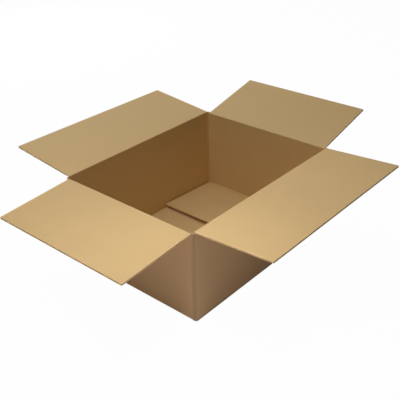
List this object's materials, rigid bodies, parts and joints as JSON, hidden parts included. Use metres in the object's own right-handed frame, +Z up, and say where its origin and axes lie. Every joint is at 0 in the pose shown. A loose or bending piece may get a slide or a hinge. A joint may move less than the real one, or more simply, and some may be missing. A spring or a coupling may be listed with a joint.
{
  "type": "open shipping carton",
  "caption": "Open rectangular shipping carton of folded corrugated board, with hinged top flaps swung outwards and a closed, taped bottom. Holds goods for packing and posting.",
  "frame": {"origin": "middle of the carton's underside, on the surface that it stands on", "axes": "+X along the carton's length, +Y along its width towards the back flap, +Z up"},
  "size_m": [0.7051, 0.6131, 0.2137],
  "materials": {
    "kraft_board": "matte",
    "packing_tape": "satin"
  },
  "bodies": {
    "carton": {"carton_body": "kraft_board", "bottom_tape": "packing_tape"},
    "left_flap": {"left_flap": "kraft_board"},
    "back_flap": {"back_flap": "kraft_board"},
    "right_flap": {"right_flap": "kraft_board"},
    "front_flap": {"front_flap": "kraft_board"}
  },
  "joints": [
    {"name": "left_crease", "type": "hinge", "parent": "carton", "child": "left_flap", "pos_m": [-0.2015, 0, 0.1778], "axis": [0, 1, 0], "range_deg": [-71, 184]},
    {"name": "back_crease", "type": "hinge", "parent": "carton", "child": "back_flap", "pos_m": [0, 0.154, 0.1811], "axis": [1, 0, 0], "range_deg": [-81, 174]},
    {"name": "right_crease", "type": "hinge", "parent": "carton", "child": "right_flap", "pos_m": [0.2015, 0, 0.1778], "axis": [0, -1, 0], "range_deg": [-88, 167]},
    {"name": "front_crease", "type": "hinge", "parent": "carton", "child": "front_flap", "pos_m": [0, -0.154, 0.1811], "axis": [-1, 0, 0], "range_deg": [-78.5, 176.5]}
  ]
}
